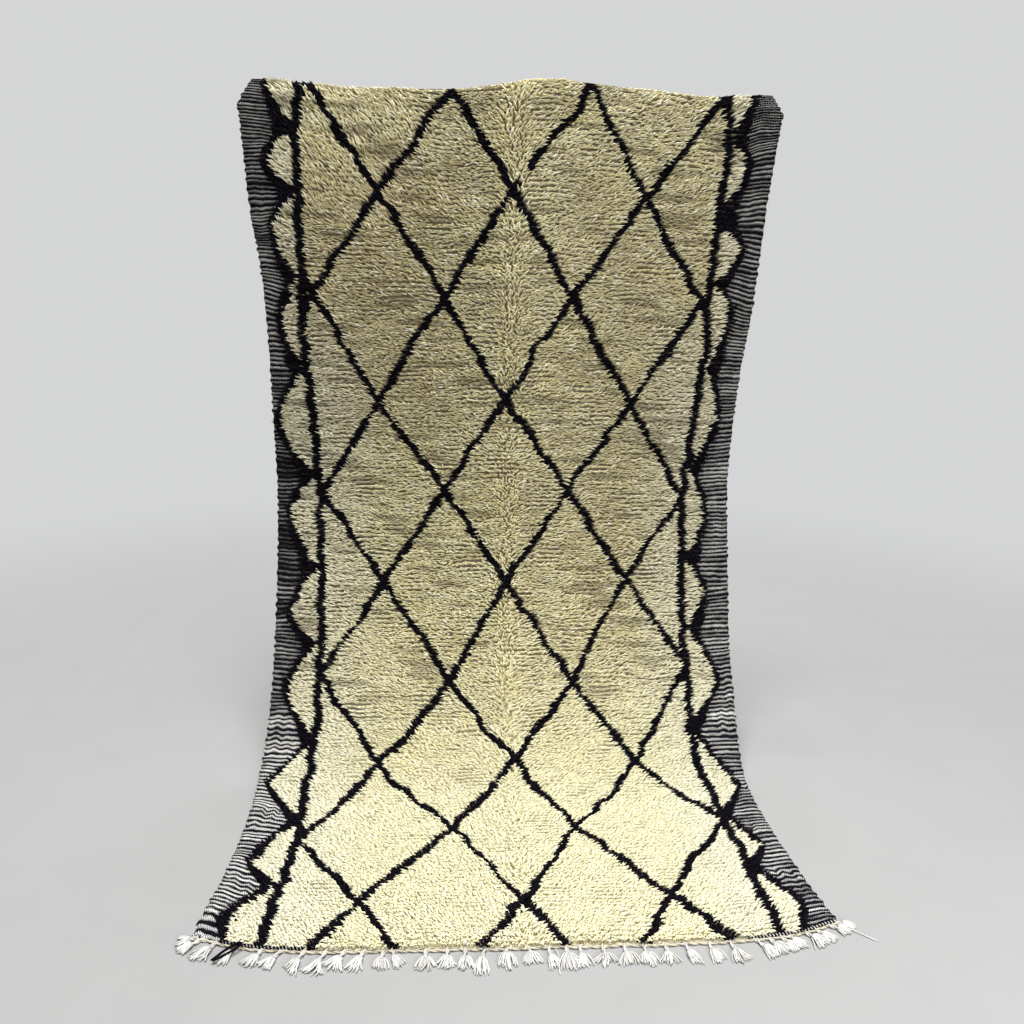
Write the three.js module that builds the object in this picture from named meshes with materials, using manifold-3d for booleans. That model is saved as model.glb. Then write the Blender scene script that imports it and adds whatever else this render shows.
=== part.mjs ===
// Hand-knotted Berber rug, held up by its top edge with its lower end lying on the floor.
//
// Millimetres, +Z up. The origin is midway between the two held corners of the top edge, on
// the line of the cloth's knotted back. The pile faces -Y, and the lower end runs out over
// the floor towards -Y.
//
// Two pieces are built, as the rug is made: the woven rug itself, whose knotted field and
// flat-woven side bands come off the loom as one cloth, and the fringe of knotted warp ends
// with its twined end cord, as one comb along the lower edge.

import * as THREE from 'three';
import Module from 'manifold-3d';
import { mergeVertices } from 'three/addons/utils/BufferGeometryUtils.js';

// Cloth sizes.
const RUG_LENGTH = 2840;
const HALF_WIDTH = 750;
const BACKING_THICKNESS = 6;
const BAND_THICKNESS = 7;
const PILE_THICKNESS = 28;
const END_PILE_THICKNESS = 20;

// How the cloth hangs: the slope of its back at each distance along it from the top edge.
// 0 hangs straight down, a negative slope falls away from the viewer, 90 lies on the floor.
const HANG = [
  { along: 0, slope: -3 },
  { along: 260, slope: -1.5 },
  { along: 560, slope: -3.5 },
  { along: 860, slope: -4 },
  { along: 1160, slope: 0 },
  { along: 1460, slope: 9.5 },
  { along: 1660, slope: 21 },
  { along: 1860, slope: 36 },
  { along: 2060, slope: 57 },
  { along: 2210, slope: 80 },
  { along: 2290, slope: 90 },
  { along: 2840, slope: 90 },
];

// Reach of each selvedge to the left and right of the middle: spread by the two hands at the
// top, drawn in where the cloth hangs free, and fanned out again on the floor.
const SIDES = [
  { along: 0, left: 736, right: 750 },
  { along: 80, left: 782, right: 790 },
  { along: 280, left: 768, right: 771 },
  { along: 580, left: 739, right: 748 },
  { along: 760, left: 729, right: 733 },
  { along: 1160, left: 727, right: 723 },
  { along: 1560, left: 735, right: 742 },
  { along: 1860, left: 741, right: 746 },
  { along: 2160, left: 745, right: 726 },
  { along: 2460, left: 741, right: 731 },
  { along: 2660, left: 747, right: 744 },
  { along: 2840, left: 765, right: 765 },
];

// The scalloped line between the pile and each flat-woven band. Each scallop swells out from
// one point on the inner border line to the next: its start and its width beyond the line.
const BORDER_LINE = 608;
const LEFT_SCALLOPS = [
  { start: -120, out: 80 },
  { start: 90, out: 88 },
  { start: 260, out: 80 },
  { start: 490, out: 84 },
  { start: 770, out: 100 },
  { start: 1130, out: 90 },
  { start: 1440, out: 90 },
  { start: 1680, out: 98 },
  { start: 2000, out: 112 },
  { start: 2320, out: 90 },
  { start: 2620, out: 110 },
];
const RIGHT_SCALLOPS = [
  { start: -120, out: 76 },
  { start: 100, out: 82 },
  { start: 300, out: 84 },
  { start: 520, out: 82 },
  { start: 780, out: 72 },
  { start: 1120, out: 68 },
  { start: 1420, out: 70 },
  { start: 1630, out: 100 },
  { start: 1970, out: 98 },
  { start: 2340, out: 88 },
  { start: 2580, out: 100 },
];
const LAST_SCALLOP_END = 2900;
const SCALLOP_FULLNESS = 0.8;
const PILE_EDGE_RUN = 16;
const END_ROUNDING = 0.02;

// How far the top edge drops below the two held corners at each place across it, and how
// soon that fades out down the cloth. It sags between the hands and is lifted in the middle.
const EDGE_DROP = [
  { across: -742, drop: 0 },
  { across: -440, drop: 15 },
  { across: -200, drop: 11 },
  { across: 120, drop: -22 },
  { across: 300, drop: -6 },
  { across: 600, drop: 9 },
  { across: 748, drop: 0 },
];
const LEFT_HOLD = EDGE_DROP[0].across;
const RIGHT_HOLD = EDGE_DROP[EDGE_DROP.length - 1].across;
const DROP_FADE = 380;
const BILLOW_PER_DROP = 0.55;

// The soft lengthwise fold down the middle, the rounding of the two lower corners, and the
// slow roll of the hanging selvedges with the stretches over which it starts and ends.
const CREASE_AT = 10;
const CREASE_HEIGHT = 11;
const CREASE_REACH = 70;
const CREASE_FADE_FROM = 2160;
const CREASE_FADE_TO = 2660;
const CORNER_CUT = 58;
const CORNER_POWER = 6;
const CORNER_SPREAD = 8;
const ROLL_DEPTH = 9;
const ROLL_PERIOD = 740;
const ROLL_STARTS = [140, 440];
const ROLL_ENDS = [1610, 2110];
const ROLL_BAND = 350;
const LEFT_ROLL_PHASE = 0.34;
const RIGHT_ROLL_PHASE = 2.24;

// The fringe: a twined cord against the lower edge and a row of knotted tassels.
const GAP = 0.3;
const CORD_WIDTH = 11;
const CORD_HEIGHT = 9;
const TASSEL_COUNT = 34;
const TASSEL_SIDES = 6;
const TASSEL_LENGTH = 56;
const TASSEL_FAN = 34;
const TASSEL_INSET = 14;
const BRUSH_FROM = 0.4;
const LENGTH_PATTERN = [0, -8, 5, 10, -4, 2, -10, 7];
const SHIFT_PATTERN = [0, 7, -5, 3, -8, 6, -2];
const SPREAD_PATTERN = [1, 0.85, 1.15, 0.95, 1.3];

// A tassel's outline: share of its length, and its width and height there.
const TASSEL = [
  { share: -0.08, width: 6, height: 6 },
  { share: 0.06, width: 8, height: 8 },
  { share: 0.18, width: 15, height: 13 },
  { share: 0.32, width: 8, height: 8 },
  { share: 0.6, width: 17, height: 9 },
  { share: 0.9, width: 24, height: 7 },
  { share: 1, width: 14, height: 4 },
];

// Rows down the cloth and columns over the knotted field.
const ROW_COUNT = 80;
const FIELD_REACH = 566;
const FIELD_SHARES = [-1, -0.84, -0.6, -0.35, -0.16, -0.05, 0.08, 0.19, 0.37, 0.6, 0.84, 1];

const woolWhite = new THREE.MeshStandardMaterial({ color: 0xe6dfc2, roughness: 0.95, metalness: 0 });
const cottonWhite = new THREE.MeshStandardMaterial({ color: 0xe9e7df, roughness: 0.9, metalness: 0 });

// Reads a table of rows at a distance along the cloth, in straight lines between rows.
function readTable(table, column, along) {
  const last = table.length - 1;
  if (along <= table[0].along) {
    return table[0][column];
  }
  for (let row = 0; row < last; row += 1) {
    const from = table[row];
    const to = table[row + 1];
    if (along <= to.along) {
      const share = (along - from.along) / (to.along - from.along);
      return THREE.MathUtils.lerp(from[column], to[column], share);
    }
  }
  return table[last][column];
}

// The back of the cloth on its middle line, walked down from the top edge in short steps.
const HANG_STEP = 10;
const hangLine = [{ y: 0, z: 0 }];
for (let along = 0; along < RUG_LENGTH; along += HANG_STEP) {
  const slope = THREE.MathUtils.degToRad(readTable(HANG, 'slope', along + HANG_STEP / 2));
  const from = hangLine[hangLine.length - 1];
  hangLine.push({
    y: from.y - HANG_STEP * Math.sin(slope),
    z: from.z - HANG_STEP * Math.cos(slope),
  });
}
const floorLevel = hangLine[hangLine.length - 1].z;

// A place on the back of the cloth's middle line, with the slope there. Above the held
// corners the line runs straight on.
function onHangLine(along) {
  const slope = THREE.MathUtils.degToRad(readTable(HANG, 'slope', along));
  if (along < 0) {
    return { y: -along * Math.sin(slope), z: -along * Math.cos(slope), slope };
  }
  const step = Math.min(along / HANG_STEP, hangLine.length - 1.001);
  const row = Math.floor(step);
  const share = step - row;
  return {
    y: THREE.MathUtils.lerp(hangLine[row].y, hangLine[row + 1].y, share),
    z: THREE.MathUtils.lerp(hangLine[row].z, hangLine[row + 1].z, share),
    slope,
  };
}

// How far the top edge drops at a place across it, eased from row to row of the table.
function edgeDrop(across) {
  const inside = THREE.MathUtils.clamp(across, LEFT_HOLD, RIGHT_HOLD);
  let row = 1;
  while (EDGE_DROP[row].across < inside) {
    row += 1;
  }
  const from = EDGE_DROP[row - 1];
  const to = EDGE_DROP[row];
  const share = THREE.MathUtils.smoothstep(inside, from.across, to.across);
  return THREE.MathUtils.lerp(from.drop, to.drop, share);
}

// The slow folds of the cloth, as a lift of its surface towards the pile side.
function foldLift(across, along) {
  const billow = -BILLOW_PER_DROP * edgeDrop(across) * Math.exp(-along / DROP_FADE);
  const fromCrease = (across - CREASE_AT) / CREASE_REACH;
  const creaseFade = 1 - THREE.MathUtils.smoothstep(along, CREASE_FADE_FROM, CREASE_FADE_TO);
  const crease = CREASE_HEIGHT * creaseFade / (1 + fromCrease * fromCrease);
  const rollOn = THREE.MathUtils.smoothstep(along, ...ROLL_STARTS)
    * (1 - THREE.MathUtils.smoothstep(along, ...ROLL_ENDS));
  const fromBand = Math.abs(across) - (HALF_WIDTH - ROLL_BAND);
  const side = THREE.MathUtils.clamp(fromBand / ROLL_BAND, 0, 1);
  const phase = across < 0 ? LEFT_ROLL_PHASE : RIGHT_ROLL_PHASE;
  const wave = Math.sin((2 * Math.PI * along) / ROLL_PERIOD + phase);
  return billow + crease + ROLL_DEPTH * rollOn * side * side * wave;
}

// A point of the cloth: a share of the way down it, a distance across, and a height above
// its back. The top edge drops and rises between its corners, and the lower corners are
// rounded off.
function clothPoint(share, across, height) {
  const reach = Math.min(Math.abs(across) / HALF_WIDTH, 1);
  const straight = share * RUG_LENGTH;
  const drop = edgeDrop(across) * Math.exp(-straight / DROP_FADE);
  const corner = CORNER_CUT * reach ** CORNER_POWER * share ** CORNER_SPREAD;
  const along = straight + drop - corner;
  const { y, z, slope } = onHangLine(along);
  const lift = foldLift(across, along) + height;
  return new THREE.Vector3(
    across,
    y - lift * Math.cos(slope),
    Math.max(z + lift * Math.sin(slope), floorLevel),
  );
}

// Width of the pile beyond the border line, at a distance along one side.
function scallopOut(scallops, along) {
  let row = scallops.length - 1;
  while (row > 0 && scallops[row].start > along) {
    row -= 1;
  }
  const start = scallops[row].start;
  const end = row + 1 < scallops.length ? scallops[row + 1].start : LAST_SCALLOP_END;
  const swell = Math.sin((Math.PI * (along - start)) / (end - start));
  return scallops[row].out * swell ** SCALLOP_FULLNESS;
}

// The rug's columns at one row: how far across, and how thick the cloth is there.
function columnsAt(share) {
  const along = share * RUG_LENGTH;
  const left = readTable(SIDES, 'left', along);
  const right = readTable(SIDES, 'right', along);
  const leftPile = (BORDER_LINE + scallopOut(LEFT_SCALLOPS, along)) * (left / HALF_WIDTH);
  const rightPile = (BORDER_LINE + scallopOut(RIGHT_SCALLOPS, along)) * (right / HALF_WIDTH);
  const endFade = THREE.MathUtils.smoothstep(Math.min(share, 1 - share), 0, END_ROUNDING);
  const pile = THREE.MathUtils.lerp(END_PILE_THICKNESS, PILE_THICKNESS, endFade);
  const field = FIELD_SHARES.map((place) => ({
    across: place * FIELD_REACH,
    thickness: pile,
  }));
  return [
    { across: -left, thickness: BACKING_THICKNESS },
    { across: -leftPile - PILE_EDGE_RUN / 2, thickness: BAND_THICKNESS },
    { across: -leftPile + PILE_EDGE_RUN / 2, thickness: pile },
    ...field,
    { across: rightPile - PILE_EDGE_RUN / 2, thickness: pile },
    { across: rightPile + PILE_EDGE_RUN / 2, thickness: BAND_THICKNESS },
    { across: right, thickness: BACKING_THICKNESS },
  ];
}

// Closes two grids of points, a front and a back, into one body with its faces outward.
function closedCloth(front, back) {
  const rows = front.length;
  const columns = front[0].length;
  const positions = [];
  for (const grid of [front, back]) {
    for (const line of grid) {
      for (const point of line) {
        positions.push(point.x, point.y, point.z);
      }
    }
  }
  const frontAt = (row, column) => row * columns + column;
  const backAt = (row, column) => rows * columns + row * columns + column;
  const faces = [];
  const quad = (a, b, c, d) => faces.push(a, b, c, a, c, d);
  for (let row = 0; row + 1 < rows; row += 1) {
    for (let column = 0; column + 1 < columns; column += 1) {
      quad(frontAt(row, column), frontAt(row + 1, column),
        frontAt(row + 1, column + 1), frontAt(row, column + 1));
      quad(backAt(row, column), backAt(row, column + 1),
        backAt(row + 1, column + 1), backAt(row + 1, column));
    }
    quad(frontAt(row, 0), backAt(row, 0), backAt(row + 1, 0), frontAt(row + 1, 0));
    const end = columns - 1;
    quad(frontAt(row, end), frontAt(row + 1, end), backAt(row + 1, end), backAt(row, end));
  }
  for (let column = 0; column + 1 < columns; column += 1) {
    const end = rows - 1;
    quad(frontAt(0, column), frontAt(0, column + 1), backAt(0, column + 1), backAt(0, column));
    quad(frontAt(end, column), backAt(end, column), backAt(end, column + 1), frontAt(end, column + 1));
  }
  const geometry = new THREE.BufferGeometry();
  geometry.setAttribute('position', new THREE.Float32BufferAttribute(positions, 3));
  geometry.setIndex(faces);
  return geometry;
}

// The woven rug: knotted field and flat-woven bands, one cloth.
function makeRug() {
  const front = [];
  const back = [];
  for (let row = 0; row <= ROW_COUNT; row += 1) {
    const share = row / ROW_COUNT;
    const columns = columnsAt(share);
    front.push(columns.map(({ across, thickness }) => clothPoint(share, across, thickness)));
    back.push(columns.map(({ across }) => clothPoint(share, across, 0)));
  }
  const rug = new THREE.Mesh(closedCloth(front, back), woolWhite);
  rug.name = 'rug';
  return rug;
}

// The lower edge of the rug on the floor, a gap in front of it, straight between columns.
const lowerCorners = columnsAt(1).map(({ across }) => clothPoint(1, across, 0));
function lowerEdge(across) {
  let column = 1;
  while (column + 1 < lowerCorners.length && lowerCorners[column].x < across) {
    column += 1;
  }
  const from = lowerCorners[column - 1];
  const to = lowerCorners[column];
  const edge = from.clone().lerp(to, (across - from.x) / (to.x - from.x));
  return edge.setY(edge.y - GAP);
}

// The twined end cord, a flat-sided bar laid along the lower edge.
function endCord() {
  const top = [];
  const bottom = [];
  for (const { x: across } of lowerCorners) {
    const edge = lowerEdge(across);
    const outer = edge.clone().add(new THREE.Vector3(0, -CORD_WIDTH, 0));
    bottom.push([edge, outer]);
    top.push([edge, outer].map((point) => point.clone().add(new THREE.Vector3(0, 0, CORD_HEIGHT))));
  }
  const turned = (grid) => [0, 1].map((side) => grid.map((pair) => pair[side]));
  return closedCloth(turned(top), turned(bottom));
}

// One tassel: a knot below the cord and a brush of warp ends that lies on the floor.
function tasselShape(index) {
  const share = (index + 0.5) / TASSEL_COUNT;
  const reach = readTable(SIDES, 'left', RUG_LENGTH) - TASSEL_INSET;
  const shift = SHIFT_PATTERN[index % SHIFT_PATTERN.length];
  const across = THREE.MathUtils.clamp((2 * share - 1) * reach + shift, -reach, reach);
  const length = TASSEL_LENGTH + LENGTH_PATTERN[index % LENGTH_PATTERN.length];
  const spread = SPREAD_PATTERN[index % SPREAD_PATTERN.length];
  const fan = THREE.MathUtils.degToRad(TASSEL_FAN * (across / reach) ** 3 + shift);
  const root = lowerEdge(across).add(new THREE.Vector3(0, -CORD_WIDTH, 0));
  const out = new THREE.Vector3(Math.sin(fan), -Math.cos(fan), 0);
  const sideways = new THREE.Vector3(Math.cos(fan), Math.sin(fan), 0);
  const rings = TASSEL.map(({ share: place, width, height }) => {
    const low = THREE.MathUtils.lerp(root.z, floorLevel, THREE.MathUtils.clamp(place, 0, 1));
    const centre = root.clone().addScaledVector(out, place * length).setZ(low + height / 2);
    const half = (place > BRUSH_FROM ? spread : 1) * width / 2;
    const ring = [];
    for (let side = 0; side < TASSEL_SIDES; side += 1) {
      const turn = (2 * Math.PI * side) / TASSEL_SIDES;
      const upright = (height / 2) / Math.cos(Math.PI / TASSEL_SIDES);
      ring.push(centre.clone()
        .addScaledVector(sideways, half * Math.cos(turn))
        .setZ(centre.z + upright * Math.sin(turn)));
    }
    return ring;
  });
  return closedRings(rings);
}

// Closes a row of rings into one body, with a flat cap at each end.
function closedRings(rings) {
  const sides = rings[0].length;
  const positions = rings.flat().flatMap((point) => [point.x, point.y, point.z]);
  const faces = [];
  for (let ring = 0; ring + 1 < rings.length; ring += 1) {
    for (let side = 0; side < sides; side += 1) {
      const next = (side + 1) % sides;
      const a = ring * sides + side;
      const b = ring * sides + next;
      faces.push(a, b, b + sides, a, b + sides, a + sides);
    }
  }
  const last = (rings.length - 1) * sides;
  for (let side = 1; side + 1 < sides; side += 1) {
    faces.push(0, side + 1, side);
    faces.push(last, last + side, last + side + 1);
  }
  const geometry = new THREE.BufferGeometry();
  geometry.setAttribute('position', new THREE.Float32BufferAttribute(positions, 3));
  geometry.setIndex(faces);
  return geometry;
}

const wasm = await Module();
wasm.setup();

// A three.js body as a manifold solid, and back.
function toSolid(geometry) {
  const merged = mergeVertices(geometry, 0.0001);
  return new wasm.Manifold(new wasm.Mesh({
    numProp: 3,
    vertProperties: new Float32Array(merged.attributes.position.array),
    triVerts: new Uint32Array(merged.index.array),
  }));
}

function toGeometry(solid) {
  const mesh = solid.getMesh();
  const geometry = new THREE.BufferGeometry();
  geometry.setAttribute('position', new THREE.BufferAttribute(mesh.vertProperties, 3));
  geometry.setIndex(new THREE.BufferAttribute(mesh.triVerts, 1));
  return geometry;
}

// The fringe: the end cord and its tassels, one comb.
function makeFringe() {
  let comb = toSolid(endCord());
  for (let index = 0; index < TASSEL_COUNT; index += 1) {
    comb = comb.add(toSolid(tasselShape(index)));
  }
  const fringe = new THREE.Mesh(toGeometry(comb), cottonWhite);
  fringe.name = 'fringe';
  return fringe;
}

const rugAndFringe = new THREE.Group();
rugAndFringe.add(makeRug(), makeFringe());

export default rugAndFringe;
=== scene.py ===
"""Hand-knotted Berber pile rug, held up by its top edge with its lower end on the floor.

The cloth follows the same hanging line and folds as its CAD solid. A place on the rug is
given by how far along it is from the top edge, how far across from the middle, and how high
above the cloth's back, in metres.
"""

import math

import bpy
import numpy as np
from mathutils import Matrix, Vector


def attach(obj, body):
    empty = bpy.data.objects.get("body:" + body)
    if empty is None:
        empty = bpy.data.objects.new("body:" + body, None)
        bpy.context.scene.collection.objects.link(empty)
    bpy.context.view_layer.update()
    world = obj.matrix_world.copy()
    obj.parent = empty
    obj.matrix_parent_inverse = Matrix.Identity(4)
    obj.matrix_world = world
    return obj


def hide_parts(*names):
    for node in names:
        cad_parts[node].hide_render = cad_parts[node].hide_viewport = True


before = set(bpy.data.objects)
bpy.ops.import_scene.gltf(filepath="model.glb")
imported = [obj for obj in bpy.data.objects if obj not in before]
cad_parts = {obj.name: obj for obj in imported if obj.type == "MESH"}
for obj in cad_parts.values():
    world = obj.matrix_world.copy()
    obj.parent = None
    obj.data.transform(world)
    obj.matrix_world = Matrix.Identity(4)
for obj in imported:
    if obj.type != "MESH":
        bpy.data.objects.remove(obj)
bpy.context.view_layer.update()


# ---- Sizes of the cloth and the way it hangs ----

RUG_LENGTH = 2.840
RUG_WIDTH = 1.500
HALF_WIDTH = RUG_WIDTH / 2

# Slope of the back at each distance along: 0 hangs straight down, 90 lies on the floor.
HANG = (
    # along, slope in degrees
    (0.00, -3.0),
    (0.26, -1.5),
    (0.56, -3.5),
    (0.86, -4.0),
    (1.16, 0.0),
    (1.46, 9.5),
    (1.66, 21.0),
    (1.86, 36.0),
    (2.06, 57.0),
    (2.21, 80.0),
    (2.29, 90.0),
    (2.84, 90.0),
)

# Reach of each selvedge from the middle.
SIDES = (
    # along, left, right
    (0.00, 0.736, 0.750),
    (0.08, 0.782, 0.790),
    (0.28, 0.768, 0.771),
    (0.58, 0.739, 0.748),
    (0.76, 0.729, 0.733),
    (1.16, 0.727, 0.723),
    (1.56, 0.735, 0.742),
    (1.86, 0.741, 0.746),
    (2.16, 0.745, 0.726),
    (2.46, 0.741, 0.731),
    (2.66, 0.747, 0.744),
    (2.84, 0.765, 0.765),
)

# How far the top edge drops below the two held corners; it is lifted near the middle.
EDGE_DROP = (
    # across, drop
    (-0.742, 0.000),
    (-0.440, 0.015),
    (-0.200, 0.011),
    (0.120, -0.022),
    (0.300, -0.006),
    (0.600, 0.009),
    (0.748, 0.000),
)
DROP_FADE = 0.380
BILLOW_PER_DROP = 0.55

# Crease down the middle, rounded lower corners and rolled selvedges.
CREASE_AT = 0.010
CREASE_HEIGHT = 0.011
CREASE_REACH = 0.070
CREASE_FADE = (2.16, 2.66)
CORNER_CUT = 0.058
CORNER_POWER = 6
CORNER_SPREAD = 8
ROLL_DEPTH = 0.009
ROLL_PERIOD = 0.740
ROLL_STARTS = (0.14, 0.44)
ROLL_ENDS = (1.61, 2.11)
ROLL_BAND = 0.350
LEFT_ROLL_PHASE = 0.34
RIGHT_ROLL_PHASE = 2.24


# ---- The woven pattern ----

# The lattice is even, apart from the crossings that stray from their places.
CROSSING_STRAYS = (
    # row from the top, place from the middle, how far down, how far to the right
    (0, -1, 0.02, 0.02),
    (0, 1, 0.02, 0.03),
    (0, 3, 0.02, 0.02),
    (1, 2, 0.01, 0.00),
    (2, 1, 0.00, -0.01),
    (3, -2, 0.02, -0.01),
    (3, 0, 0.01, -0.01),
    (3, 2, 0.02, -0.01),
    (4, -3, 0.01, 0.01),
    (4, 3, 0.02, -0.02),
    (5, 2, -0.01, 0.00),
    (6, -1, 0.03, 0.02),
    (6, 1, 0.03, 0.02),
    (6, 3, -0.03, 0.00),
    (7, 0, -0.01, 0.02),
    (8, -3, 0.04, 0.01),
    (8, -1, -0.01, 0.03),
    (8, 1, 0.00, -0.02),
    (8, 3, -0.03, 0.01),
    (9, 0, 0.00, 0.01),
    (9, 2, -0.01, -0.02),
)
GRID_SIZE = 24  # more lines of each family than the rug holds
FIRST_CROSSING = -0.017
CROSSING_STEP = 0.3015
CROSSING_REACH = 0.196
LINE_HALF = 0.0123
LYING_LINE_HALF = 0.0118
LINE_WOBBLE = 0.0034
LINE_SWELL = 0.0015
LINE_FRAY = 0.0012
LINE_SWAY = 0.0075  # about how far a line strays from straight between two crossings
NAP_COVER = (0.0006, 0.0016)  # how much the nap hides or bares a slanting line, hung and lying
BORDER_HALF = 0.0128
MISSED_KNOTS = (0.245, 0.028, 0.020)  # along, across, reach of a gap in one line

# Inner border lines, one each side.
LEFT_BORDER = (
    # along, across
    (0.00, 0.61),
    (0.20, 0.62),
    (0.70, 0.62),
    (1.20, 0.59),
    (1.90, 0.59),
    (2.20, 0.60),
    (2.45, 0.58),
    (2.80, 0.60),
)
RIGHT_BORDER = (
    # along, across
    (0.00, 0.62),
    (0.15, 0.63),
    (0.60, 0.60),
    (0.75, 0.61),
    (1.20, 0.57),
    (1.80, 0.59),
    (2.10, 0.58),
    (2.25, 0.60),
    (2.80, 0.60),
)

# The outer line swings out in lobes.
LEFT_LOBES = (
    # along and across of the inward point, and of the crown that follows
    (-0.10, 0.64, 0.00, 0.70),
    (0.12, 0.64, 0.21, 0.71),
    (0.29, 0.64, 0.41, 0.70),
    (0.53, 0.64, 0.67, 0.69),
    (0.80, 0.63, 0.98, 0.71),
    (1.14, 0.61, 1.26, 0.69),
    (1.44, 0.62, 1.60, 0.69),
    (1.69, 0.61, 1.83, 0.70),
    (2.01, 0.60, 2.16, 0.71),
    (2.32, 0.60, 2.53, 0.69),
    (2.62, 0.61, 2.77, 0.71),
    (2.91, 0.64, 3.01, 0.70),
)
RIGHT_LOBES = (
    # along and across of the inward point, and of the crown that follows
    (-0.10, 0.64, 0.00, 0.70),
    (0.11, 0.64, 0.19, 0.70),
    (0.30, 0.64, 0.33, 0.65),
    (0.37, 0.64, 0.43, 0.70),
    (0.53, 0.62, 0.62, 0.68),
    (0.78, 0.63, 0.95, 0.67),
    (1.11, 0.59, 1.27, 0.65),
    (1.41, 0.60, 1.53, 0.66),
    (1.64, 0.61, 1.82, 0.69),
    (1.97, 0.59, 2.20, 0.69),
    (2.33, 0.61, 2.50, 0.67),
    (2.57, 0.61, 2.76, 0.69),
    (2.91, 0.64, 3.01, 0.70),
)
NOTCH_FILL = (0.028, 0.018)  # how far a notch is filled out, hung and lying
INNER_FILLS = (
    # along, how far inward the line is filled in on the left and on the right, and over what
    (0.120, 0.028, 0.022, 0.022),
    (0.290, 0.018, 0.000, 0.016),
    (0.335, 0.000, 0.028, 0.034),
    (1.140, 0.016, 0.000, 0.020),
    (1.410, 0.000, 0.026, 0.022),
    (1.440, 0.014, 0.000, 0.020),
    (2.780, 0.021, 0.000, 0.026),
    (2.810, 0.002, 0.010, 0.034),
)
FLANK_EXTRA = 0.0090  # how much wider the line runs on its way out to a lobe that lies down
LOBE_FULLNESS = (1.75, 1.30)  # of the upper and of the lower lobes: 1 is a plain triangle
OUTER_LINE_HALF = (0.0105, 0.0080)  # hung and lying
FILL_BEFORE = 0.042
FILL_AFTER = 0.020


# ---- Yarns ----

KNOT_ROW = 0.01333
KNOT_STEP = 0.0066
KNOT_REACH = 0.78  # rows of knots are laid out past the selvedges, then cut to the pile
PILE_REACH = 0.745
TOP_MARGIN = 0.0035
END_MARGIN = 0.0015
PILE_ROOT = 0.004
PILE_TOP = 0.0245
END_PILE_TOP = 0.0195
TUFT_LEAN = 0.0180
TUFT_WIDTH = 0.0058
SHOWN_AT = 0.45  # how far out along its lean a yarn end shows

BAND_TOP = 0.0058
RIB_HEIGHT = 0.0016
BACK_RIB = 0.0008
DRAWN_STEP = 0.038
WARP_STEP = 0.0048
RIB_ROWS = (0.0, 0.13, 0.37, 0.5, 0.63, 0.87)  # mesh rows in one pair of ribs
PAIR_PITCH = (
    # along, one black and one white rib together
    (0.00, 0.0090),
    (0.26, 0.0098),
    (0.46, 0.0125),
    (1.10, 0.0136),
    (1.90, 0.0150),
    (2.30, 0.0164),
    (2.84, 0.0168),
)
PITCH_SPREAD = (0.78, 1.24)  # how narrow and how wide a pair can be, as a share of that
# Mesh columns of the field, closer together over the crease.
FIELD_COLUMNS = (-0.50, -0.33, -0.16, -0.075, -0.015, 0.035, 0.095, 0.18, 0.34, 0.50)
BAND_SHARES = (0.0, 0.28, 0.5, 0.7, 0.88, 1.0)  # mesh columns of a band, out to the selvedge
BAND_FROM = 0.585
BAND_WIDTH = 0.15
RIB_RISE = (
    # along, how much higher up a rib meets the left and the right selvedge than the pile
    (0.00, 0.000, 0.000),
    (0.06, 0.022, 0.030),
    (0.20, 0.020, 0.050),
    (0.33, -0.028, 0.004),
    (0.56, 0.026, -0.048),
    (0.80, 0.004, 0.004),
    (2.10, 0.006, 0.006),
    (2.30, 0.060, 0.026),
    (2.40, 0.020, 0.020),
    (2.58, 0.050, 0.008),
    (2.77, 0.055, -0.012),
    (2.84, 0.000, 0.000),
)

# Tassels of the fringe: across of the root, lean of the tip to the right, length, spread.
TASSELS = (
    (-0.748, -0.052, 0.040, 0.9),
    (-0.735, -0.044, 0.056, 0.8),
    (-0.700, -0.034, 0.060, 0.9),
    (-0.652, -0.030, 0.056, 1.0),
    (-0.592, -0.020, 0.052, 1.0),
    (-0.548, -0.030, 0.056, 0.9),
    (-0.496, -0.026, 0.062, 0.9),
    (-0.448, -0.024, 0.066, 0.8),
    (-0.406, -0.022, 0.054, 0.8),
    (-0.362, -0.023, 0.060, 0.8),
    (-0.318, -0.010, 0.054, 1.3),
    (-0.298, 0.012, 0.050, 0.9),
    (-0.224, 0.000, 0.054, 1.5),
    (-0.174, -0.004, 0.052, 1.3),
    (-0.134, -0.002, 0.056, 1.2),
    (-0.090, -0.012, 0.072, 0.8),
    (-0.040, -0.004, 0.056, 1.3),
    (0.012, 0.004, 0.050, 1.5),
    (0.056, 0.006, 0.058, 0.9),
    (0.096, 0.004, 0.066, 1.2),
    (0.128, 0.004, 0.060, 0.8),
    (0.180, 0.004, 0.054, 1.9),
    (0.230, 0.004, 0.058, 1.9),
    (0.276, 0.004, 0.060, 1.7),
    (0.324, 0.006, 0.056, 1.0),
    (0.372, 0.012, 0.062, 1.1),
    (0.428, 0.008, 0.056, 1.2),
    (0.478, 0.014, 0.064, 1.2),
    (0.540, 0.032, 0.062, 0.8),
    (0.572, 0.024, 0.052, 0.9),
    (0.600, 0.028, 0.052, 0.8),
    (0.624, 0.020, 0.044, 0.9),
    (0.664, 0.038, 0.056, 0.8),
    (0.692, 0.034, 0.050, 0.8),
    (0.730, 0.040, 0.046, 0.8),
    (0.752, 0.050, 0.040, 0.8),
)
CORD_REACH = 0.757
TASSEL_GROWTH = 1.16  # how much larger the tassels are than in the table
NECK_SHARE = 0.38  # where on a tassel the knot sits
LOOSE_ENDS = ((0.070, 0.008, 0.074), (0.748, 0.086, 0.050))  # across, lean, length
TWINED_ENDS = ((-0.690, -0.500), (0.520, 0.752))  # where yarn is turned around the end cord

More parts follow.
